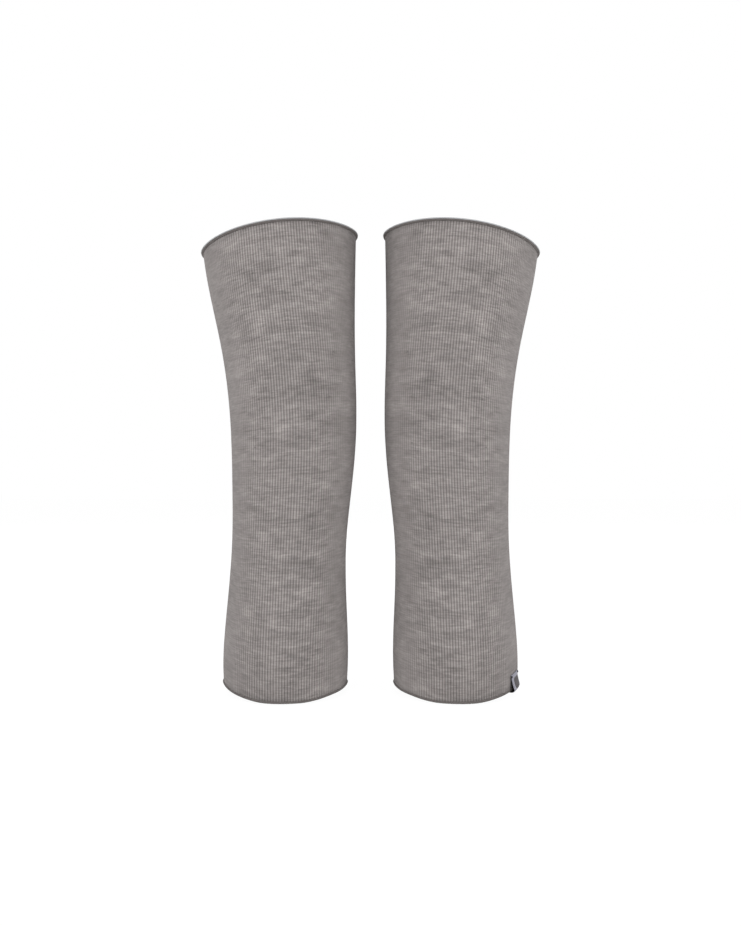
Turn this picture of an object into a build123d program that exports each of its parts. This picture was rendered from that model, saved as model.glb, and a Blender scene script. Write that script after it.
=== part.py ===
"""A pair of fingerless gloves: two open knitted tubes, worn from the knuckles to the middle of the forearm.

Each glove is one panel of fine one-by-one rib knit, rolled into a tube and closed by one overlocked seam.
Both ends of the tube are finished with a narrow rolled edge. A folded ribbon label is tacked round the hand
edge of the right glove. Every piece is a closed solid in a node of its own.

Frame: millimetres, +Z up, -Y is the front. The gloves stand side by side on Z = 0 with the hand edge down,
mirrored about the plane X = 0, and the origin is the middle of the pair's base. The right glove is built
first, at +X, and the left one is its mirror image without the label.
"""

from build123d import *
import math
import os

# ---------------------------------------------------------------- the knit
knit_wall = 1.2  # thickness of the rib knit, over both faces
seam_width = 5.0  # overlocked seam allowance, lying flat on the inside
seam_thickness = 1.6  # two turned-in edges and the overlock thread

# ---------------------------------------------------------------- the tube's form
# Outer radius of the knit and the distance of the tube's axis from the middle of the pair.
hand_radius = 32.5  # at the hand edge, where the rolled edge draws the knit in
palm_radius = 33.4  # just above it, over the knuckles
wrist_radius = 30.6  # the narrowest girth
forearm_radius = 33.4  # half way up
arm_radius = 40.6  # at the end of the forearm's swell, a little below the arm edge
hand_spread = 45.7
wrist_spread = 43.5
forearm_spread = 41.3
arm_spread = 48.5
forward_bow = 2.0  # the middle of the tube stands this far in front of its ends

palm_height = 12.6
wrist_height = 80.6
forearm_height = 137.6
swell_height = 231.5  # the end of the forearm's swell, from where the tube runs on straight

# Between two named places: the share of the way up, of the change in radius and of the change in spread.
heel_shares = (0.4, 0.32, 0.3)
low_forearm_shares = (0.5, 0.45, 0.65)
high_forearm_shares = (0.5, 0.34, 0.38)
hand_draw = 1.2  # how much smaller the tube would be one trim margin below the hand edge

# ---------------------------------------------------------------- the two ends
# Seen from the front, the hand edge is flat in the middle and rises to both sides, so the glove stands on
# its front and back. The arm edge is a shallow arch that slopes down towards the outside.
hand_flat_half = 8.0  # half the flat part of the hand edge
hand_rise = 5.4  # how far the hand edge has risen at the tube's side
arm_height = 240.3  # mean height of the arm edge at the tube's two sides
arm_slope = 7.7  # degrees
arm_arch = 4.5  # how far the arch stands above the line between the two sides

edge_height = 2.2  # the rolled edges
arm_edge_outset = 1.0  # how far the rolled edge stands out of the knit, at the arm
hand_edge_outset = 0.5  # and at the hand
edge_inset = 0.5  # and into the tube, at both ends

# ---------------------------------------------------------------- the label
label_width = 10.0
label_angle = 26.5  # degrees from the glove's outer side towards the front, at the label's middle
label_height = 8.7  # of the outside flap, above the middle of the fold
label_inside_height = 7.0
label_thickness = 0.6  # woven ribbon, grey on its face and black on its reverse
label_bulge = 1.5  # how much further out the flap stands at the fold than at its top
label_gap = 0.3  # between the ribbon and the knit or the rolled edge
label_slack = 0.9  # between the fold and the rolled edge's underside, at the label's front side
tack_length = 1.8
tack_width = 0.7
tack_thickness = 0.4
tack_margin = 0.5  # between a tack and the label's top and side

# ---------------------------------------------------------------- worked out from the values above
trim_margin = 12.0  # how far the tubes are lofted past their ends before they are trimmed
trim_half_depth = 2 * arm_radius
hand_run = hand_radius + hand_edge_outset - hand_flat_half  # over which the hand edge rises at each side
hand_arc_radius = (hand_run**2 + hand_rise**2) / (2 * hand_rise)


def between(low, high, shares, forward):
    """A ring between two others, at shares of the way up and of the changes in radius and spread."""
    changes = [start + (end - start) * share for start, end, share in zip(low, high, shares)]
    return (*changes, forward)


def above_swell(height):
    """The ring at a height above the swell, where the tube runs on straight."""
    run_on = (height - swell_height) / (swell_height - forearm_height)
    radius = arm_radius + (arm_radius - forearm_radius) * run_on
    spread = arm_spread + (arm_spread - forearm_spread) * run_on
    return height, radius, spread, 0.0


def rings():
    """(height, outer radius, spread of the axis, forward shift) of each section, from the hand up."""
    palm = (palm_height, palm_radius, hand_spread, 0.0)
    wrist = (wrist_height, wrist_radius, wrist_spread, 0.7 * forward_bow)
    forearm = (forearm_height, forearm_radius, forearm_spread, forward_bow)
    swell = (swell_height, arm_radius, arm_spread, 0.1 * forward_bow)
    return [
        (-trim_margin, hand_radius - hand_draw, hand_spread, 0.0),
        (0.0, hand_radius, hand_spread, 0.0),
        palm,
        between(palm, wrist, heel_shares, 0.3 * forward_bow),
        wrist,
        between(wrist, forearm, low_forearm_shares, forward_bow),
        forearm,
        between(forearm, swell, high_forearm_shares, 0.7 * forward_bow),
        swell,
        above_swell(arm_height + trim_margin),
    ]


def tube(outset):
    """The solid inside the glove's outer face, grown by outset and longer than the glove at both ends."""
    sections = []
    for height, radius, spread, forward in rings():
        sections.append(Pos(spread, -forward, height) * Circle(radius + outset))
    return loft(sections)


def shell(outset, inset):
    """The wall from inset inside the knit's outer face to outset outside it."""
    return tube(outset) - tube(-inset)


def hand_edge_height(from_axis):
    """How high the hand edge's underside is, at a distance to the side of the tube's axis."""
    beyond = max(0.0, from_axis - hand_flat_half)
    return hand_arc_radius - math.sqrt(hand_arc_radius**2 - beyond**2)


def hand_profile(lift):
    """The hand edge from the front: an arc, the flat middle and an arc, raised by lift."""
    radius = hand_arc_radius
    reach = math.degrees(math.asin(min(0.95, (hand_run + trim_margin) / radius)))
    inner_start = (hand_spread - hand_flat_half, lift)
    outer_start = (hand_spread + hand_flat_half, lift)
    inner = JernArc(inner_start, (-1, 0), radius, -reach)
    flat = Line(inner_start, outer_start)
    outer = JernArc(outer_start, (1, 0), radius, reach)
    return inner, flat, outer


def arm_profile(drop):
    """The arm edge from the front: one arc through its two sides and the top of its arch, lowered by drop."""
    _, knit_radius, spread, _ = above_swell(arm_height)
    radius = knit_radius + arm_edge_outset
    sideways = radius * math.tan(math.radians(arm_slope))
    inner_side = (spread - radius, arm_height + sideways - drop)
    outer_side = (spread + radius, arm_height - sideways - drop)
    middle = (spread, arm_height + arm_arch - drop)
    return ThreePointArc(inner_side, middle, outer_side)


def under_arm_edge(drop):
    """Everything below the arm edge lowered by drop, as a prism along Y."""
    arc = arm_profile(drop)
    floor = -2 * trim_margin
    inner, outer = arc @ 0, arc @ 1
    inner_far = (inner.X - trim_margin, inner.Y)
    outer_far = (outer.X + trim_margin, outer.Y)
    outer_low, inner_low = (outer_far[0], floor), (inner_far[0], floor)
    outline = arc + Polyline(arc @ 1, outer_far, outer_low, inner_low, inner_far, arc @ 0)
    return extrude(Plane.XZ * make_face(outline), amount=trim_half_depth, both=True)


def under_hand_edge(lift):
    """Everything below the hand edge raised by lift, as a prism along Y."""
    inner, flat, outer = hand_profile(lift)
    floor = -2 * trim_margin
    inner_end, outer_end = inner @ 1, outer @ 1
    outline = inner + flat + outer + Polyline(
        (outer_end.X, outer_end.Y), (outer_end.X, floor), (inner_end.X, floor), (inner_end.X, inner_end.Y)
    )
    return extrude(Plane.XZ * make_face(outline), amount=trim_half_depth, both=True)


def panel():
    """The rib knit between the two rolled edges."""
    return (shell(0, knit_wall) & under_arm_edge(edge_height)) - under_hand_edge(edge_height)


def arm_edge():
    """The rolled edge at the arm."""
    wall = shell(arm_edge_outset, knit_wall + edge_inset)
    return (wall & under_arm_edge(0)) - under_arm_edge(edge_height)


def hand_edge():
    """The rolled edge at the hand, which the glove stands on."""
    wall = shell(hand_edge_outset, knit_wall + edge_inset)
    return (wall & under_hand_edge(edge_height)) - under_hand_edge(0)


def seam():
    """The overlocked seam allowance, flat on the inside of the knit along the middle of the tube's back."""
    reach = 2 * arm_radius
    strip = Pos(0, reach / 2, 0) * Rectangle(seam_width, reach)
    sections = [Pos(spread, 0, height) * strip for height, _, spread, _ in rings()]
    lining = tube(-knit_wall) - tube(-knit_wall - seam_thickness)
    return ((lining & loft(sections)) & under_arm_edge(edge_height)) - under_hand_edge(edge_height)


# ---------------------------------------------------------------- the label's section
# The section is drawn at the glove's outer side, r outwards from the tube's axis and z up, and turned about
# the axis. The ribbon's reverse is the side towards the knit, which clears the knit at the flaps' tops and
# the rolled edge at the fold.
outside_top_r = max(palm_radius, hand_radius) + label_gap
outside_fold_r = outside_top_r + label_bulge
inside_top_r = min(palm_radius, hand_radius) - knit_wall - label_gap
inside_fold_r = inside_top_r - edge_inset
fold_middle_r = (outside_fold_r + inside_fold_r) / 2
fold_radius = (outside_fold_r - inside_fold_r) / 2
label_front_angle = math.radians(label_angle) + label_width / palm_radius / 2
label_front_x = (hand_radius - knit_wall - edge_inset) * math.cos(label_front_angle)
fold_z = hand_edge_height(label_front_x) - label_slack + fold_radius
outside_top_z = fold_z + label_height
inside_top_z = fold_z + label_inside_height


def ribbon_side(away):
    """Five points on one side of the ribbon, from the outside flap's top round the fold to the inside's."""
    return [
        (outside_top_r + away, outside_top_z),
        (outside_fold_r + away, fold_z),
        (fold_middle_r, fold_z - fold_radius - away),
        (inside_fold_r - away, fold_z),
        (inside_top_r - away, inside_top_z),
    ]


def turned(section, width, middle_angle):
    """A section revolved about the tube's axis, width wide, its middle turned by an angle to the front."""
    arc = math.degrees(width / palm_radius)
    standing = Plane.XZ * section
    piece = revolve(standing, Axis.Z, arc)
    return Pos(hand_spread, 0, 0) * Rot(0, 0, -middle_angle - arc / 2) * piece


def label():
    """The folded ribbon."""
    reverse, face = ribbon_side(0), ribbon_side(label_thickness)
    outline = (
        Line(face[0], face[1])
        + ThreePointArc(face[1], face[2], face[3])
        + Polyline(face[3], face[4], reverse[4], reverse[3])
        + ThreePointArc(reverse[3], reverse[2], reverse[1])
        + Polyline(reverse[1], reverse[0], face[0])
    )
    return turned(make_face(outline), label_width, label_angle)


def tack_section(top_r, top_z, away, lean):
    """A tack lying on a flap's face, which leans away from the knit by lean for each mm down."""
    high, low = top_z - tack_margin, top_z - tack_margin - tack_length
    seat_high = top_r + away * (label_thickness + lean * tack_margin)
    seat_low = seat_high + away * lean * tack_length
    proud = away * tack_thickness
    corners = [(seat_high, high), (seat_high + proud, high), (seat_low + proud, low), (seat_low, low)]
    return make_face(Polyline(*corners, close=True))


def label_tacks():
    """Four bar tacks at the flaps' top corners, two outside and two inside."""
    swing = math.degrees((label_width / 2 - tack_margin - tack_width / 2) / palm_radius)
    outside = tack_section(outside_top_r, outside_top_z, 1, label_bulge / label_height)
    inside = tack_section(inside_top_r, inside_top_z, -1, edge_inset / label_inside_height)
    tacks = []
    for section in (outside, inside):
        for side in (-1, 1):
            tacks.append(turned(section, tack_width, label_angle + side * swing).solid())
    return Compound(children=tacks)


def main():
    os.makedirs("parts", exist_ok=True)
    glove = {"knit_panel": panel(), "arm_edge": arm_edge(), "hand_edge": hand_edge(), "seam": seam()}
    for name, piece in glove.items():
        export_step(piece, f"parts/right_{name}.step")
        export_step(mirror(piece, about=Plane.YZ), f"parts/left_{name}.step")
    export_step(label(), "parts/label.step")
    export_step(label_tacks(), "parts/label_tacks.step")


main()
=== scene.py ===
# %% [markdown]
# # A pair of fingerless gloves in fine rib knit
#
# Each glove is a panel of rib knit rolled into an open tube, with a rolled edge at both ends and an
# overlocked seam inside, along the middle of the back. The right one has a ribbon label folded round its
# hand edge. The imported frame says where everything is. This lesson gives each piece its cloth.

# %% Load the frame
import math

import bpy
import numpy as np
from mathutils.bvhtree import BVHTree
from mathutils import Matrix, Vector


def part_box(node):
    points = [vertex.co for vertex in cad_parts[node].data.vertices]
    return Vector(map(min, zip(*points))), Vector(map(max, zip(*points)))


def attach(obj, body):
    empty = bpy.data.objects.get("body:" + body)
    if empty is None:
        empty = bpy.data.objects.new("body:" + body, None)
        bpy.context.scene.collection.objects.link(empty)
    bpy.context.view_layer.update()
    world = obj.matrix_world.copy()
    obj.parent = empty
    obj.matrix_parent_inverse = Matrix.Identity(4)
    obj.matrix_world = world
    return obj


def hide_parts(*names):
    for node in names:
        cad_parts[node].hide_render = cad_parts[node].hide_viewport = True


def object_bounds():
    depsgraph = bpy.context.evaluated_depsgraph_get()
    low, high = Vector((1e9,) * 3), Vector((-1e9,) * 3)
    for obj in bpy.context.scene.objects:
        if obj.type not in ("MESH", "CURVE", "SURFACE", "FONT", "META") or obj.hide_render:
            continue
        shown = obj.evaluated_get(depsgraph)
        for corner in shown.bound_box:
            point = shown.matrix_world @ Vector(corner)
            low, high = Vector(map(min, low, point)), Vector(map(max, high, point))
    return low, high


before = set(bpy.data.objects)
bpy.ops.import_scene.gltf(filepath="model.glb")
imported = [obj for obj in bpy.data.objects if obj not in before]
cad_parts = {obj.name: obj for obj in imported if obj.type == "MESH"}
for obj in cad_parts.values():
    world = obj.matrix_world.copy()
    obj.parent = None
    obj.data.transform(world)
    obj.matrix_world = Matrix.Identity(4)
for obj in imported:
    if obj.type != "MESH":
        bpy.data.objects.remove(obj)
cad_low, cad_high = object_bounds()
bpy.ops.object.select_all(action="DESELECT")
scene = bpy.context.scene
MM = 0.001
print("frame, mm:", [round((b - a) / MM, 1) for a, b in zip(cad_low, cad_high)])

# %% [markdown]
# ## The tube's form
#
# Every piece of a glove lies on one tapering, slightly bowed tube. Its measures could be typed in again,
# but then the cloth and the frame could drift apart. So each tube is measured instead: rays from outside
# find its middle and radius at many heights, and rays from above and below find its two slanting ends.

# %% Measure a tube
FAR = 0.3  # clear of both gloves, where the rays start
SECTIONS = 60  # heights at which a tube is measured
ARM_EDGE_OUT, HAND_EDGE_OUT = 1.0 * MM, 0.5 * MM  # how far each rolled edge stands out of the knit
EDGE_IN = 1.7 * MM  # and how far in, through the knit and past it
EDGE_HEIGHT = 2.2 * MM
# Soft cloth doesn't keep the hand edge as even as the frame's. It rises a little sooner on the outer side
# and hangs a little lower at the inner corner: (rise, distance outwards from the tube's axis, width).
HEM_WAVES = ((0.7 * MM, 19 * MM, 10 * MM), (-1.2 * MM, -33 * MM, 6 * MM))
TURN = np.linspace(-math.pi, math.pi, 181)  # round the tube: 0 is the front, and positive is outwards


def solid_of(node):
    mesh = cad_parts[node].data
    return BVHTree.FromPolygons([v.co for v in mesh.vertices], [p.vertices for p in mesh.polygons])


def extended(at, known, values):
    """Linear interpolation that runs on straight past both ends."""
    inside = np.interp(at, known, values)
    below = values[0] + (at - known[0]) * (values[1] - values[0]) / (known[1] - known[0])
    above = values[-1] + (at - known[-1]) * (values[-1] - values[-4]) / (known[-1] - known[-4])
    return np.where(at < known[0], below, np.where(at > known[-1], above, inside))


class Tube:
    """One glove's tube: side is 1 for the right glove and -1 for the left."""

    def __init__(self, name, side):
        self.name, self.side = name, side
        knit = solid_of(f"{name}_knit_panel")
        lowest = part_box(f"{name}_hand_edge")[1].z + MM
        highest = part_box(f"{name}_arm_edge")[0].z - MM
        self.heights = np.linspace(lowest, highest, SECTIONS)
        found = []
        for z in self.heights:
            right = knit.ray_cast((FAR, 0, z), (-1, 0, 0))[0].x
            left = knit.ray_cast((-FAR, 0, z), (1, 0, 0))[0].x
            middle = (right + left) / 2
            front = knit.ray_cast((middle, -FAR, z), (0, 1, 0))[0].y
            back = knit.ray_cast((middle, FAR, z), (0, -1, 0))[0].y
            found.append((middle * side, (front + back) / 2, (right - left + back - front) / 4))
        self.spread, self.depth, self.radius = np.array(found).T
        self.top = self.rim("arm_edge", self.heights[-1], (ARM_EDGE_OUT - EDGE_IN) / 2, 1)
        self.bottom = self.rim("hand_edge", self.heights[0], (HAND_EDGE_OUT - EDGE_IN) / 2, -1)
        outwards = self.radius[0] * np.sin(TURN)
        for rise, place, width in HEM_WAVES:
            self.bottom += rise * np.exp(-(((outwards - place) / width) ** 2))

    def radius_at(self, z):
        return extended(z, self.heights, self.radius)

    def place(self, turn, z, out=0.0):
        """Points at a turn and a height, out of the knit's face by out."""
        r = self.radius_at(z) + out
        x = self.side * (extended(z, self.heights, self.spread) + r * np.sin(turn))
        return np.stack([x, extended(z, self.heights, self.depth) - r * np.cos(turn), z + 0 * r], -1)

    def rim(self, node, start, out, up):
        """The height of an end's rim at each turn, seen from above (up 1) or from below (up -1)."""
        edge, heights = solid_of(f"{self.name}_{node}"), []
        for turn in TURN:
            z = start
            for _ in range(3):
                x, y, _z = self.place(turn, z, out)
                z = edge.ray_cast((x, y, up * FAR), (0, 0, -up))[0].z
            heights.append(z)
        return np.array(heights)

    def ends(self, turn):
        """The heights of the two rims at a turn."""
        return np.interp(turn, TURN, self.bottom), np.interp(turn, TURN, self.top)

    def length(self):
        """The mean height from rim to rim."""
        return float((self.top - self.bottom).mean())


tubes = [Tube("left", -1), Tube("right", 1)]
for tube in tubes:
    narrow, wide = tube.radius.min() / MM, tube.radius.max() / MM
    print(tube.name, "radius mm", round(narrow, 1), "to", round(wide, 1))
    print(tube.name, "top mm", round(tube.top.max() / MM, 1))

# %% [markdown]
# ## One way to make every piece
#
# Cloth comes off a machine as a flat grid, and is then rolled, folded and sewn. The pieces are made that
# way too. A grid primitive is laid on a form point by point, the vertices that meet are merged, as a seam
# closes a tube, and the faces are turned outwards. A piece that is swept along a line is the same grid with
# its one side going round the section.

# %% Wrap a grid
MERGE = 0.002 * MM  # vertices nearer than this are one
POINTS_A_TURN, THREAD_SIDES = 9, 5  # how finely a wound thread is made


def wrapped(name, columns, rows, form, knit_map=None):
    """A grid laid on form(column, row), which gives points for arrays of numbers from 0 to 1."""
    bpy.ops.mesh.primitive_grid_add(x_subdivisions=columns, y_subdivisions=rows, size=1)
    piece = bpy.context.object
    piece.name = piece.data.name = name
    mesh = piece.data
    flat = np.empty(len(mesh.vertices) * 3, np.float32)
    mesh.vertices.foreach_get("co", flat)
    flat = flat.reshape(-1, 3)
    column = np.round((flat[:, 0] + 0.5) * columns) / columns
    row = np.round((flat[:, 1] + 0.5) * rows) / rows
    points = form(column, row)
    mesh.vertices.foreach_set("co", points.astype(np.float32).ravel())
    layer = mesh.uv_layers[0]
    layer.name = "knit"
    corner = np.empty(len(mesh.loops), np.int32)
    mesh.loops.foreach_get("vertex_index", corner)
    across = np.stack(knit_map(column, row) if knit_map else (column, row), -1)
    layer.uv.foreach_set("vector", across[corner].astype(np.float32).ravel())
    bpy.ops.object.mode_set(mode="EDIT")
    bpy.ops.mesh.select_all(action="SELECT")
    bpy.ops.mesh.remove_doubles(threshold=MERGE)
    bpy.ops.mesh.normals_make_consistent(inside=False)
    bpy.ops.object.mode_set(mode="OBJECT")
    bpy.ops.object.shade_smooth()
    bpy.ops.object.select_all(action="DESELECT")
    return piece


def swept(name, centres, across, upwards, half_across, half_up, sides, closed):
    """A solid of oval section along centres. An open one is closed by a pole at each end."""
    lines = (centres, across, upwards)
    if closed:
        centres, across, upwards = (np.vstack([a, a[:1]]) for a in lines)
        swell = np.ones(len(centres))
    else:
        centres, across, upwards = (np.vstack([a[:1], a, a[-1:]]) for a in lines)
        swell = np.concatenate([[0], np.ones(len(centres) - 2), [0]])
    last = len(centres) - 1

    def form(column, row):
        i, turn = np.round(column * last).astype(int), 2 * math.pi * row
        sideways = across[i] * (half_across * np.cos(turn) * swell[i])[:, None]
        return centres[i] + sideways + upwards[i] * (half_up * np.sin(turn) * swell[i])[:, None]

    return wrapped(name, last, sides, form)


def wound(name, centres, across, upwards, half_across, half_up, thickness, turns, closed):
    """A thread wound round such a solid, in even slanting turns."""
    t = np.linspace(0, 1, turns * POINTS_A_TURN, endpoint=not closed)
    lines = (centres, across, upwards)
    if closed:
        lines = tuple(np.vstack([a, a[:1]]) for a in lines)
    at = np.linspace(0, 1, len(lines[0]))
    middle, side, up = (np.stack([np.interp(t, at, a[:, k]) for k in range(3)], -1) for a in lines)
    angle = 2 * math.pi * turns * t
    outwards = side * (half_across * np.cos(angle))[:, None] + up * (half_up * np.sin(angle))[:, None]
    path = middle + outwards
    along = np.gradient(path, axis=0)
    along /= np.linalg.norm(along, axis=1)[:, None]
    out = outwards / np.linalg.norm(outwards, axis=1)[:, None]
    out -= along * (out * along).sum(1)[:, None]
    out /= np.linalg.norm(out, axis=1)[:, None]
    return swept(name, path, out, np.cross(along, out), thickness / 2, thickness / 2, THREAD_SIDES, closed)


def triangles(piece):
    return sum(len(p.vertices) - 2 for p in piece.data.polygons)


# %% [markdown]
# ## Materials
#
# The knit is spun from light and dark wool mixed before spinning, so its colour runs in short streaks along
# the courses. Its pattern reads a map in metres, measured along the cloth, so it bends with the cloth. All
# colours are written as they look and turned to linear light by one function.

# %% Colours and nodes
def colour(code):
    """An sRGB hex value as linear light."""
    parts = [int(code[i : i + 2], 16) / 255 for i in (0, 2, 4)]
    return [p / 12.92 if p <= 0.04045 else ((p + 0.055) / 1.055) ** 2.4 for p in parts] + [1.0]


def add(material, kind, inputs=None, **settings):
    """One node with its settings. An input is a number, a colour, or another node's output."""
    node = material.node_tree.nodes.new(kind)
    for key, value in settings.items():
        setattr(node, key, value)
    for key, value in (inputs or {}).items():
        if isinstance(value, bpy.types.NodeSocket):
            material.node_tree.links.new(value, node.inputs[key])
        else:
            node.inputs[key].default_value = value
    return node


def cloth(name, roughness, sheen):
    """A material with a plain matt cloth shader."""
    material = bpy.data.materials.new(name)
    material.use_nodes = True
    shader = material.node_tree.nodes["Principled BSDF"]
    shader.inputs["Roughness"].default_value = roughness
    shader.inputs["Specular IOR Level"].default_value = 0.2
    shader.inputs["Sheen Weight"].default_value = sheen
    shader.inputs["Sheen Roughness"].default_value = 0.6
    return material, shader


def joined(material, output, shader_input):
    material.node_tree.links.new(output, shader_input)


# %% [markdown]
# ### Heather rib knit
#
# Fine wool in a one-by-one rib is matt, with a faint bloom of loose fibres. The furrows between the ribs are
# in the mesh, and the material adds the shade that the hidden wales hold, the streaks, and the stitches.

# %% Heather rib knit
RIB = 1.45 * MM  # from one rib to the next
COURSE = 1.1 * MM  # from one row of stitches to the next
# At FAINTEST the painted furrow shade is weakest and the painted shade along the sides is darkest.
FAINTEST = 0.3  # how clear the ribs are where they are most rubbed out; 1 is fully clear
# The furrow colour is painted shade: the dark that the hidden wales hold between the ribs.
RIDGE, FURROW_SHADE = "A49E9C", "7F7977"
STREAKS = (  # how long and how high a streak is, in mm, and how far it strays from the middle tone
    (8.0, 0.9, 0.17),
    (8.0, 3.0, 0.15),
    (30.0, 8.0, 0.12),
    (3.0, 0.7, 0.09),
    (1.5, 1.1, 0.05),
    (45.0, 30.0, 0.10),
)
SPECKS_APART, FIBRE = 14 * MM, 0.4 * MM  # from one dark speck to the next, and the size of the fuzz


def heather_knit():
    material, shader = cloth("heather_wool_rib_knit", 0.95, 0.12)
    place = add(material, "ShaderNodeUVMap", uv_map="knit").outputs["UV"]
    parts = add(material, "ShaderNodeSeparateXYZ", {0: place})
    crisp = add(material, "ShaderNodeAttribute", attribute_name="crispness").outputs["Fac"]
    turns = {0: parts.outputs["X"], 1: 2 * math.pi / RIB}
    rib = add(material, "ShaderNodeMath", turns, operation="MULTIPLY")
    wave = add(material, "ShaderNodeMath", {0: rib.outputs[0]}, operation="COSINE")
    depth = add(material, "ShaderNodeMath", {0: wave.outputs[0], 1: crisp}, operation="MULTIPLY")
    # Painted shade: the furrow colour comes in where the rib's wave is low, and less where the ribs are faint.
    furrow_shade = add(material, "ShaderNodeMapRange", {0: depth.outputs[0], 1: -1.0, 2: 1.0, 3: 1.0, 4: 0.0})
    shades = {0: furrow_shade.outputs[0], 6: colour(RIDGE), 7: colour(FURROW_SHADE)}
    tone = add(material, "ShaderNodeMix", shades, data_type="RGBA").outputs[2]
    clear = add(material, "ShaderNodeMapRange", {0: crisp, 1: FAINTEST, 2: 1.0, 3: 0.7, 4: 1.1})
    for length, height, stray in STREAKS:
        scale = (1 / (length * MM), 1 / (height * MM), 1.0)
        point = add(material, "ShaderNodeVectorMath", {0: place, 1: scale}, operation="MULTIPLY")
        pattern = {"Vector": point.outputs[0], "Scale": 1.0, "Detail": 2.0}
        noise = add(material, "ShaderNodeTexNoise", pattern)
        spread = {0: noise.outputs[0], 1: 0.28, 2: 0.72, 3: -stray, 4: stray}
        level = add(material, "ShaderNodeMapRange", spread)
        terms = {0: level.outputs[0], 1: clear.outputs[0], 2: 1.0}
        factor = add(material, "ShaderNodeMath", terms, operation="MULTIPLY_ADD")
        scaled = {0: tone, 3: factor.outputs[0]}
        tone = add(material, "ShaderNodeVectorMath", scaled, operation="SCALE").outputs[0]
    # Painted shade and light round the tube: where the ribs are faint, along the folds, the painted furrow
    # shade fades to an even middle tone and the cloth is painted darker all over; where they are clear, a
    # little lighter.
    side_shade = add(material, "ShaderNodeMapRange", {0: crisp, 1: FAINTEST, 2: 1.0, 3: 0.93, 4: 1.04})
    # Specks: single dark fibres, a few to a glove.
    apart = {0: place, 1: (1 / SPECKS_APART,) * 3}
    spot = add(material, "ShaderNodeVectorMath", apart, operation="MULTIPLY")
    cells = add(material, "ShaderNodeTexVoronoi", {"Vector": spot.outputs[0], "Scale": 1.0})
    speck = {0: cells.outputs["Distance"], 1: 0.02, 2: 0.045, 3: 0.6, 4: 1.0}
    near = add(material, "ShaderNodeMapRange", speck)
    for factor in (side_shade, near):
        scaled = {0: tone, 3: factor.outputs[0]}
        tone = add(material, "ShaderNodeVectorMath", scaled, operation="SCALE").outputs[0]
    joined(material, tone, shader.inputs["Base Color"])
    # The bump is the rows of stitches, with a fuzz of fibres over them.
    rows = {0: parts.outputs["Y"], 1: 2 * math.pi / COURSE}
    stitch = add(material, "ShaderNodeMath", rows, operation="MULTIPLY")
    stitches = add(material, "ShaderNodeMath", {0: stitch.outputs[0]}, operation="COSINE")
    fine = add(material, "ShaderNodeVectorMath", {0: place, 1: (1 / FIBRE,) * 3}, operation="MULTIPLY")
    fuzz = add(material, "ShaderNodeTexNoise", {"Vector": fine.outputs[0], "Scale": 1.0, "Detail": 3.0})
    terms = {0: stitches.outputs[0], 1: 0.3, 2: fuzz.outputs[0]}
    height = add(material, "ShaderNodeMath", terms, operation="MULTIPLY_ADD")
    raised = {"Height": height.outputs[0], "Distance": 0.12 * MM, "Strength": 0.5}
    bump = add(material, "ShaderNodeBump", raised)
    joined(material, bump.outputs[0], shader.inputs["Normal"])
    return material


# %% [markdown]
# ### Thread and ribbon
#
# The overlock thread is spun polyester, cooler and a little glossier than the wool. The ribbon is woven
# satin: silver grey with a plain dark panel on its face, and black on its reverse.

# %% Thread and ribbon
def spun(name, dark, light, grain, roughness=0.75):
    """A yarn whose colour varies between two values over grain, in the piece's own place."""
    material, shader = cloth(name, roughness, 0.08)
    place = add(material, "ShaderNodeTexCoord").outputs["Object"]
    noise = add(material, "ShaderNodeTexNoise", {"Vector": place, "Scale": 1 / grain, "Detail": 3.0})
    level = add(material, "ShaderNodeMapRange", {0: noise.outputs[0], 1: 0.3, 2: 0.7})
    shades = {0: level.outputs[0], 6: colour(dark), 7: colour(light)}
    mix = add(material, "ShaderNodeMix", shades, data_type="RGBA")
    joined(material, mix.outputs[2], shader.inputs["Base Color"])
    raised = {"Height": noise.outputs[0], "Distance": 0.08 * MM, "Strength": 0.5}
    bump = add(material, "ShaderNodeBump", raised)
    joined(material, bump.outputs[0], shader.inputs["Normal"])
    return material


PANEL_ACROSS, PANEL_ALONG = 0.45, 0.25  # the middle of the dark panel, as shares of the whole ribbon
PANEL_HALF_WIDTH, PANEL_HALF_HEIGHT = 0.34, 0.145  # in the same shares


def satin_ribbon():
    """The face of the label. Its map runs from 0 to 1 across and along the whole ribbon."""
    material, shader = cloth("woven_satin_ribbon_face", 0.45, 0.0)
    place = add(material, "ShaderNodeUVMap", uv_map="knit").outputs["UV"]
    # The panel is a rounded oblong: the fourth powers of the distances from its middle add up to under 1.
    offset = {0: place, 1: (-PANEL_ACROSS, -PANEL_ALONG, 0)}
    middle = add(material, "ShaderNodeVectorMath", offset, operation="ADD")
    scale = {0: middle.outputs[0], 1: (1 / PANEL_HALF_WIDTH, 1 / PANEL_HALF_HEIGHT, 0)}
    scaled = add(material, "ShaderNodeVectorMath", scale, operation="MULTIPLY")
    parts = add(material, "ShaderNodeSeparateXYZ", {0: scaled.outputs[0]})
    powers = [parts.outputs["X"], parts.outputs["Y"]]
    for _ in range(2):
        squared = [add(material, "ShaderNodeMath", {0: p, 1: 2.0}, operation="POWER") for p in powers]
        powers = [node.outputs[0] for node in squared]
    total = add(material, "ShaderNodeMath", {0: powers[0], 1: powers[1]}, operation="ADD")
    inside = add(material, "ShaderNodeMapRange", {0: total.outputs[0], 1: 0.8, 2: 1.2, 3: 1.0, 4: 0.0})
    shades = {0: inside.outputs[0], 6: colour("9C9BA6"), 7: colour("504C4E")}
    mix = add(material, "ShaderNodeMix", shades, data_type="RGBA")
    joined(material, mix.outputs[2], shader.inputs["Base Color"])
    rows = add(material, "ShaderNodeTexWave", {"Vector": place, "Scale": 11.0}, bands_direction="Y")
    raised = {"Height": rows.outputs["Fac"], "Distance": 0.05 * MM, "Strength": 0.5}
    bump = add(material, "ShaderNodeBump", raised)
    joined(material, bump.outputs[0], shader.inputs["Normal"])
    return material


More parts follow.
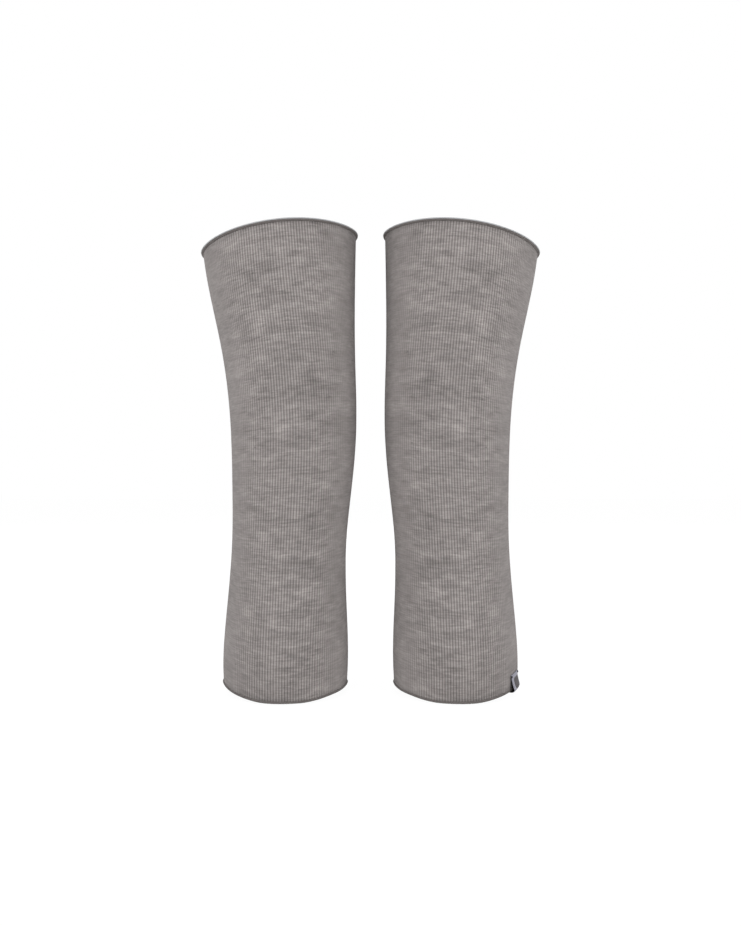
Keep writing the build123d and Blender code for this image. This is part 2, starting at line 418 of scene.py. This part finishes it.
knit = heather_knit()
roll_knit = spun("wool_knit_rolled_edge", "6F6967", "807A77", 0.8 * MM, 0.95)
edge_thread = spun("polyester_overlock_thread", "746F6D", "86817F", 0.5 * MM)
# The looper thread's pale colour is a painted highlight along the lit top of the arm edge's roll.
looper_highlight_thread = spun("looper_thread_painted_highlight", "B0B2B4", "C2C4C6", 0.5 * MM)
seam_knit = spun("wool_knit_seam_allowance", "7A7572", "8C8784", 0.8 * MM, 0.95)
ribbon_face = satin_ribbon()
ribbon_reverse = spun("woven_satin_ribbon_reverse", "121112", "232122", 0.4 * MM, 0.6)
tack_thread = spun("polyester_tack_thread", "1E1D1E", "343233", 0.3 * MM)

# %% [markdown]
# ## The knit panel
#
# The ribs are about as far apart at the wrist as at the arm, though the wrist is a quarter narrower. The
# panel is cut to shape from an even rib, so it is the number of ribs that changes, and they are cut off at
# the seam. The grid's columns follow the ribs, four to each, out from the middle of the front both ways, and
# those past the seam are gathered onto it and merged. The gloves were pressed flat, so the ribs are crisp at
# the front and back, and are rubbed out along the two folds at the sides. The grid goes up the outside, over
# and down the inside, so that the wall is closed. Where one face has a rib, the other has a furrow.

# %% Knit panels
RELIEF = 0.45 * MM  # from the top of a rib to the bottom of a furrow
RIB_COLUMNS = 4  # columns of the grid to a rib
WALL_ROWS = 60  # rows of the grid from one end to the other
WALL = 0.9 * MM  # the cloth's own thickness
TUCK = 0.9 * MM  # how far the panel's end lies inside the rolled edge
FADE = 4 * MM  # the ribs come up to their full relief over this height from a rim


def rib_positions(tube, column, row):
    """Turn, height, distance round the tube, share of the way up, and layer of the grid's points."""
    half = math.ceil(math.pi * tube.reach / (RIB / RIB_COLUMNS))
    distance = (column - 0.5) * 2 * half * RIB / RIB_COLUMNS
    step = np.round(row * (2 * WALL_ROWS + 2)).astype(int)
    inner = (step > WALL_ROWS) & (step < 2 * WALL_ROWS + 2)
    up = np.where(inner, 2 * WALL_ROWS + 1 - step, np.where(step > WALL_ROWS, 0, step)) / WALL_ROWS
    z = np.full(len(up), tube.heights.mean())
    for _ in range(6):
        turn = np.clip(distance / tube.radius_at(z), -math.pi, math.pi)
        low, high = tube.ends(turn)
        z = low + TUCK + up * (high - low - 2 * TUCK)
    return turn, z, turn * tube.radius_at(z), up, inner


def unevenness(turn, z):
    """The slight waves of a soft tube that nothing holds quite round."""
    return 0.18 * MM * np.sin(3 * turn + z / 0.023) + 0.12 * MM * np.sin(5 * turn - z / 0.031)


def crispness(turn):
    """How clear the ribs are: 1 at the front and back, where they were pressed, and less along the folds."""
    across = np.clip((np.abs(np.cos(turn)) - 0.55) / 0.35, 0, 1)
    return FAINTEST + (1 - FAINTEST) * across * across * (3 - 2 * across)


def places(piece):
    """The piece's vertices, one row to each."""
    flat = np.empty(len(piece.data.vertices) * 3, np.float32)
    piece.data.vertices.foreach_get("co", flat)
    return flat.reshape(-1, 3)


def knit_panel(tube):
    tube.reach = float(tube.radius_at(tube.top.max()))
    columns = 2 * math.ceil(math.pi * tube.reach / (RIB / RIB_COLUMNS))

    def form(column, row):
        turn, z, distance, _up, inner = rib_positions(tube, column, row)
        low, high = tube.ends(turn)
        fade = np.clip(np.minimum(z - low, high - z) / FADE, 0.25, 1)
        ridge = RELIEF * fade * crispness(turn) * (0.5 * np.cos(2 * math.pi * distance / RIB) - 0.5)
        return tube.place(turn, z, ridge + unevenness(turn, z) - WALL * inner)

    def along_the_cloth(column, row):
        _turn, _z, distance, up, _inner = rib_positions(tube, column, row)
        return distance, up * tube.length()

    piece = wrapped(f"{tube.name}_rib_knit", columns, 2 * WALL_ROWS + 2, form, along_the_cloth)
    x, y, z = places(piece).T
    axis_x, axis_y = (extended(z, tube.heights, v) for v in (tube.spread, tube.depth))
    turn = np.arctan2(tube.side * x - axis_x, axis_y - y)
    # The material paints the furrow shade and the shade along the sides by this attribute.
    layer = piece.data.attributes.new("crispness", "FLOAT", "POINT")
    layer.data.foreach_set("value", crispness(turn).astype(np.float32))
    return piece


def flat_cut(tube):
    """(width, length, area) of the panel before it was rolled."""
    low, high = tube.bottom.min(), tube.top.max()
    z = np.linspace(low, high, 200)
    girth = 2 * math.pi * tube.radius_at(z)
    return float(girth.max()), float(high - low), float(girth.mean() * tube.length())


for tube in tubes:
    tube.panel = knit_panel(tube)
    tube.panel.data.materials.append(knit)
    print(tube.panel.name, "triangles", triangles(tube.panel))

# %% [markdown]
# ## The rolled edges
#
# Cut knit runs, so both ends are turned over and bound with an overlock thread that goes round and round
# the roll. A texture would show neither the roll's shadow nor its outline, so the roll is swept round the rim,
# and one thread is wound round it in slanting turns. At the arm a looper thread also runs along the top,
# where the overlock's turns are locked together; its pale colour is a painted highlight on the roll's lit top.

# %% Rolled edges
THREAD = 0.17 * MM  # its thickness
WRAP = 0.6 * MM  # from one turn of the thread to the next
LOOPER = 0.6 * MM  # thickness of the chain that the looper thread makes
LOOPER_OUT, LOOPER_DROP = 0.75 * MM, 0.55 * MM  # its middle, out of the knit's face and below the rim
ROLL_HEIGHT = 1.8 * MM  # slack is left in the height that the edge may take


def edge_line(tube, heights, out, drop):
    """The roll's middle, its direction out of the glove and its direction up, round the whole rim."""
    turn, z = TURN[:-1], heights[:-1] - drop
    smooth = np.linspace(-math.pi, math.pi, 360, endpoint=False)
    z = np.interp(smooth, np.append(turn, math.pi), np.append(z, z[0]))
    middle = tube.place(smooth, z, out + unevenness(smooth, z))
    outwards = np.stack([tube.side * np.sin(smooth), -np.cos(smooth), 0 * smooth], -1)
    return middle, outwards, np.tile([0.0, 0.0, 1.0], (len(smooth), 1))


def looper_chain(tube):
    """The chain of looper thread along the arm edge, on the outer side of its top, pale as a painted
    highlight.
    """
    line = edge_line(tube, tube.top, LOOPER_OUT, LOOPER_DROP)
    chain = swept(f"{tube.name}_arm_edge_chain", *line, LOOPER / 2, LOOPER / 2, 8, True)
    chain.data.materials.append(looper_highlight_thread)
    return chain


def rolled_edge(tube, end, heights, out_by, rise):
    """The roll and its thread at an end whose rim is at heights; rise is 1 at the top and -1 below."""
    half_across, half_up = (out_by + EDGE_IN) / 2 - THREAD, ROLL_HEIGHT / 2 - THREAD
    line = edge_line(tube, heights, (out_by - EDGE_IN) / 2, rise * EDGE_HEIGHT / 2)
    roll = swept(f"{tube.name}_{end}_roll", *line, half_across, half_up, 12, True)
    roll.data.materials.append(roll_knit)
    turns = int(2 * math.pi * float(tube.radius_at(heights.mean())) / WRAP)
    wide, high = half_across + THREAD / 2, half_up + THREAD / 2
    thread = wound(f"{tube.name}_{end}_thread", *line, wide, high, THREAD, turns, True)
    thread.data.materials.append(edge_thread)
    print(roll.name, "turns of thread", turns, "triangles", triangles(roll) + triangles(thread))
    return roll, thread


for tube in tubes:
    tube.arm_edge = (*rolled_edge(tube, "arm_edge", tube.top, ARM_EDGE_OUT, 1), looper_chain(tube))
    tube.hand_edge = rolled_edge(tube, "hand_edge", tube.bottom, HAND_EDGE_OUT, -1)

# %% [markdown]
# ## The seam
#
# The panel's two sides are overlocked together, and the allowance lies flat on the inside, along the middle
# of the back. It shows from above, below and behind the rim. It is a flat oval bar with its own thread.

# %% Seams
SEAM_HALF_WIDTH, SEAM_HALF_THICKNESS = 2.3 * MM, 0.55 * MM
FRAME_WALL = 1.2 * MM  # the knit's thickness in the frame
SEAM_DEPTH = FRAME_WALL + SEAM_HALF_THICKNESS  # the bar's middle, inside the knit's face
SEAM_WRAP = 2.2 * MM


def seam(tube):
    """The bar and its thread, up the middle of the back."""
    back = math.pi
    low, high = tube.ends(back)
    z = np.linspace(low + EDGE_HEIGHT, high - EDGE_HEIGHT, 90)
    middle = tube.place(back + 0 * z, z, -SEAM_DEPTH + unevenness(back, z))
    sideways, inwards = (np.tile(axis, (len(z), 1)) for axis in ([1.0, 0.0, 0.0], [0.0, 1.0, 0.0]))
    line = (middle, sideways, inwards)
    bar = swept(f"{tube.name}_seam_bar", *line, SEAM_HALF_WIDTH, SEAM_HALF_THICKNESS, 12, False)
    bar.data.materials.append(seam_knit)
    turns = int((high - low) / SEAM_WRAP)
    wide, thick = SEAM_HALF_WIDTH + THREAD / 2, SEAM_HALF_THICKNESS + THREAD / 2
    thread = wound(f"{tube.name}_seam_thread", *line, wide, thick, THREAD, turns, False)
    thread.data.materials.append(edge_thread)
    return bar, thread


for tube in tubes:
    tube.seam = seam(tube)
    print(tube.seam[0].name, "triangles", sum(triangles(p) for p in tube.seam))

# %% [markdown]
# ## The label
#
# A ribbon is folded round the right glove's hand edge and held by small tacks. It stands away from the
# knit at the fold, more so at its front side, because a stiff ribbon stays flat where the tube curves. So
# its black reverse shows. It slopes with the edge that it is folded round. The grid goes along the ribbon's
# face and back along its reverse, and its two selvedges are pinched together.

# %% Label
right = tubes[1]
LABEL_LOW, LABEL_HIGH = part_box("label")
LABEL_WIDTH, LABEL_THICKNESS = 10.0 * MM, 0.35 * MM
LABEL_TURN = math.radians(90 - 26.5)  # from the front to the label's middle
LABEL_COLUMNS, PATH_ROWS = 22, 40
PALM = float(right.radius_at(LABEL_HIGH.z))  # the knit's radius beneath the label
BACK_FLARE, FRONT_FLARE = 1.3 * MM, 2.0 * MM  # how far the fold stands out at the ribbon's two sides
FRONT_LOW = LABEL_LOW.z + 2.4 * MM  # the fold's underside at the front side
SLOPE = 1.5 * MM  # and its rise from there to the back side
LABEL_TOP = LABEL_HIGH.z - 0.5 * MM  # of the outside flap, at its front corner
FOLD_DEPTH = 1.3 * MM
FACE_GAP, INSIDE_DEPTH = 0.1 * MM, 2.4 * MM  # the flaps' tops, out of the knit's face and inside it
INSIDE_FLARE, INSIDE_SHORTER = 0.3 * MM, 1.0 * MM  # how the inside flap leans, and how much shorter it is


def ribbon_path(share, across):
    """Radius and height of the ribbon's reverse, from the outside flap's top to the inside flap's."""
    top, inside_top = PALM + FACE_GAP, PALM - INSIDE_DEPTH
    fold_out = top + BACK_FLARE + (FRONT_FLARE - BACK_FLARE) * across
    fold_in = inside_top - INSIDE_FLARE
    half = (fold_out - fold_in) / 2
    tilt = SLOPE * (1 - across)
    high, fold_z = LABEL_TOP + tilt, FRONT_LOW + FOLD_DEPTH + tilt
    flap, inner_flap = high - fold_z, high - fold_z - INSIDE_SHORTER
    arc = math.pi * (half + FOLD_DEPTH) / 2
    s = share * (flap + arc + inner_flap)
    bend = np.clip((s - flap) / arc * math.pi, 0, math.pi)
    first, last = s < flap, s > flap + arc
    down, rise = np.clip(s / flap, 0, 1), np.clip((s - flap - arc) / inner_flap, 0, 1)
    round_fold = (fold_out + fold_in) / 2 + half * np.cos(bend)
    out = np.where(first, top + (fold_out - top) * down**1.5, round_fold)
    out = np.where(last, fold_in + (inside_top - fold_in) * rise, out)
    z = np.where(first, high - flap * down, fold_z - FOLD_DEPTH * np.sin(bend))
    return out, np.where(last, fold_z + inner_flap * rise, z)


def label_point(across, share, proud):
    """A point of the ribbon: across it from back to front, along it, and out of its reverse."""
    step = 1e-3
    out, z = ribbon_path(share, across)
    ahead = ribbon_path(np.clip(share + step, 0, 1), across)
    behind = ribbon_path(np.clip(share - step, 0, 1), across)
    along = np.stack([ahead[0] - behind[0], ahead[1] - behind[1]])
    along /= np.linalg.norm(along, axis=0)
    out, z = out - along[1] * proud, z + along[0] * proud
    turn = LABEL_TURN - (across - 0.5) * LABEL_WIDTH / PALM
    out = out + unevenness(turn, z)
    spread, depth = (extended(LABEL_HIGH.z, right.heights, v) for v in (right.spread, right.depth))
    return np.stack([spread + out * np.sin(turn), depth - out * np.cos(turn), z], -1)


MIDLINE = np.linspace(0, 1, 81)


def label():
    """The ribbon, with its face and its reverse in their own materials."""
    rows = 2 * PATH_ROWS + 2

    def along_ribbon(row):
        step = np.round(row * rows).astype(int)
        reverse = (step > PATH_ROWS) & (step < rows)
        step = np.where(reverse, 2 * PATH_ROWS + 1 - step, np.where(step == rows, 0, step))
        return step / PATH_ROWS, reverse

    def form(column, row):
        share, reverse = along_ribbon(row)
        selvedge = (column < 0.01) | (column > 0.99)
        proud = np.where(selvedge, LABEL_THICKNESS / 2, np.where(reverse, 0, LABEL_THICKNESS))
        return label_point(column, share, proud)

    def along_the_ribbon(column, row):
        return column, along_ribbon(row)[0]

    piece = wrapped("label_ribbon", LABEL_COLUMNS, rows, form, along_the_ribbon)
    piece.data.materials.append(ribbon_face)
    piece.data.materials.append(ribbon_reverse)
    middle = label_point(0.5 + 0 * MIDLINE, MIDLINE, LABEL_THICKNESS / 2)
    inside = middle[[10, 70]].mean(0)  # between the two flaps, well down them
    for face in piece.data.polygons:
        near = middle[np.argmin(((middle - np.array(face.center)) ** 2).sum(1))]
        outwards = np.dot(np.array(face.normal), near - inside)
        face.material_index = 0 if outwards > 0 else 1
    return piece


ribbon = label()
print(ribbon.name, "triangles", triangles(ribbon))

# %% [markdown]
# ### The tacks
#
# Each corner is held by a bar tack: a few stitches of dark thread side by side, which rise a little in the
# middle where they cross the ribbon's selvedge.

# %% Tacks
STITCHES, STITCH_POINTS = 3, 7
STITCH_THICKNESS, STITCH_RISE = 0.4 * MM, 0.12 * MM
STITCH_LENGTH, STITCH_APART = 0.055, 0.02  # as shares of the ribbon's length and of its width
CORNER_ACROSS, CORNER_ALONG = 0.035, 0.02  # a tack's middle, as shares of the ribbon from its side and end


def stitch(name, across, along, direction):
    """One short stitch down the flap, lying on the ribbon's face."""
    t = np.linspace(0, 1, STITCH_POINTS)
    share = along + direction * t * STITCH_LENGTH
    proud = LABEL_THICKNESS + STITCH_THICKNESS / 4 + STITCH_RISE * np.sin(math.pi * t)
    path = label_point(across + 0 * t, share, proud)
    along_it = np.gradient(path, axis=0)
    along_it /= np.linalg.norm(along_it, axis=1)[:, None]
    face = label_point(across + 0 * t, share, proud + MM) - path
    face /= np.linalg.norm(face, axis=1)[:, None]
    half = STITCH_THICKNESS / 2
    return swept(name, path, face, np.cross(along_it, face), half, half, 8, False)


stitches = []
for along, direction in ((CORNER_ALONG, 1), (1 - CORNER_ALONG, -1)):
    for side in (CORNER_ACROSS, 1 - CORNER_ACROSS):
        for k in range(STITCHES):
            across = side + (k - 1) * STITCH_APART
            stitches.append(stitch(f"stitch_{len(stitches)}", across, along, direction))
for piece in stitches:
    piece.select_set(True)
bpy.context.view_layer.objects.active = stitches[0]
bpy.ops.object.join()
tacks = bpy.context.object
tacks.name = tacks.data.name = "label_tack_stitches"
tacks.data.materials.append(tack_thread)
bpy.ops.object.select_all(action="DESELECT")
print(tacks.name, "triangles", triangles(tacks))

# %% [markdown]
# ## What rides on what
#
# Every piece belongs to the left or the right glove and moves with it. Each stands for the plain solid in
# the frame whose place it takes. Knit panels are sheets, so their flat cut is printed.

# %% Ride and replace
for tube in tubes:
    body = f"{tube.name}_glove"
    width, length, area = flat_cut(tube)
    for piece in (tube.panel, *tube.arm_edge, *tube.hand_edge, *tube.seam):
        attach(piece, body)
    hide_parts(f"{tube.name}_knit_panel")
    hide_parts(f"{tube.name}_arm_edge")
    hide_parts(f"{tube.name}_hand_edge")
    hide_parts(f"{tube.name}_seam")
    print(tube.name, "flat cut mm", round(width / MM), "x", round(length / MM), "area m2", round(area, 4))

for piece, node, slot in ((ribbon, "label", "label_ribbon"), (tacks, "label_tacks", "tack_thread")):
    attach(piece, "right_glove")
    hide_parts(node)
share = np.linspace(0, 1, 200)
steps = np.diff(label_point(0.5 + 0 * share, share, 0.0), axis=0)

# %% [markdown]
# ## Floor, light and camera
#
# The floor and the world are white where the camera looks straight at them, and the floor keeps a soft
# shadow. Two large lamps stand to the sides and a little in front, which leaves the sides that face each
# other darker. Weaker ones in front and above fill in the middle and the rims, and one lights the back.

# %% Floor
FLOOR_GLOW, FLOOR_SHARE = 1.09, 0.88  # the white that the camera sees, and how much of the floor it makes up
bpy.ops.mesh.primitive_plane_add(size=6)
floor = bpy.context.object
floor.name = "studio_floor"
white = bpy.data.materials.new("white_paper_floor")
white.use_nodes = True
paper = white.node_tree.nodes["Principled BSDF"]
paper.inputs["Base Color"].default_value = colour("F2F2F2")
paper.inputs["Roughness"].default_value = 0.9
glow = add(white, "ShaderNodeEmission", {"Color": (1, 1, 1, 1), "Strength": FLOOR_GLOW})
rays = add(white, "ShaderNodeLightPath")
seen_share = {0: rays.outputs["Is Camera Ray"], 1: FLOOR_SHARE}
share = add(white, "ShaderNodeMath", seen_share, operation="MULTIPLY")
blend = add(white, "ShaderNodeMixShader", {0: share.outputs[0], 1: paper.outputs[0], 2: glow.outputs[0]})
joined(white, blend.outputs[0], white.node_tree.nodes["Material Output"].inputs["Surface"])
floor.data.materials.append(white)

# %% World
WORLD_LIGHT = 0.25  # what lights the gloves; the white that the camera sees is 1
world = bpy.data.worlds.new("studio")
scene.world = world
world.use_nodes = True
seen = world.node_tree.nodes["Background"]
lit = add(world, "ShaderNodeBackground", {"Color": (1, 1, 1, 1), "Strength": WORLD_LIGHT})
seen.inputs["Color"].default_value = (1, 1, 1, 1)
seen.inputs["Strength"].default_value = 1.0
path = add(world, "ShaderNodeLightPath")
white_seen = path.outputs["Is Camera Ray"]
for ray in ("Is Glossy Ray", "Is Transmission Ray"):
    either = {0: white_seen, 1: path.outputs[ray]}
    white_seen = add(world, "ShaderNodeMath", either, operation="MAXIMUM").outputs[0]
either = add(world, "ShaderNodeMixShader", {0: white_seen, 1: lit.outputs[0], 2: seen.outputs[0]})
joined(world, either.outputs[0], world.node_tree.nodes["World Output"].inputs["Surface"])

# %% Lamps
LAMPS = (  # name, place, size and power
    ("left_lamp", (-1.1, -0.7, 0.32), 0.7, 8.1),
    ("right_lamp", (1.1, -0.7, 0.32), 0.7, 8.1),
    ("front_lamp", (0.0, -1.3, 0.5), 0.9, 1.0),
    ("top_lamp", (0.0, -0.15, 1.3), 0.9, 4.0),
    ("back_lamp", (0.0, 1.4, 0.5), 0.9, 5.0),
)
aim = np.array([0, 0, (cad_low.z + cad_high.z) / 2])
for name, place, size, power in LAMPS:
    bpy.ops.object.light_add(type="AREA", location=place)
    lamp = bpy.context.object
    lamp.name, lamp.data.size, lamp.data.energy = name, size, power
    direction = aim - np.array(place)
    pitch = math.acos(-direction[2] / np.linalg.norm(direction))
    lamp.rotation_euler = (pitch, 0, math.atan2(-direction[0], direction[1]))

# %% Camera
# It stands level at the middle of the gloves, as far off as makes the near and far rims bow as they do.
CAMERA_DISTANCE, CAMERA_HEIGHT, LENS = 0.560, 0.1228, 40.4
bpy.ops.object.camera_add(location=(0, -CAMERA_DISTANCE, CAMERA_HEIGHT), rotation=(math.pi / 2, 0, 0))
scene.camera = bpy.context.object
scene.camera.data.lens = LENS
scene.view_settings.view_transform = "Standard"
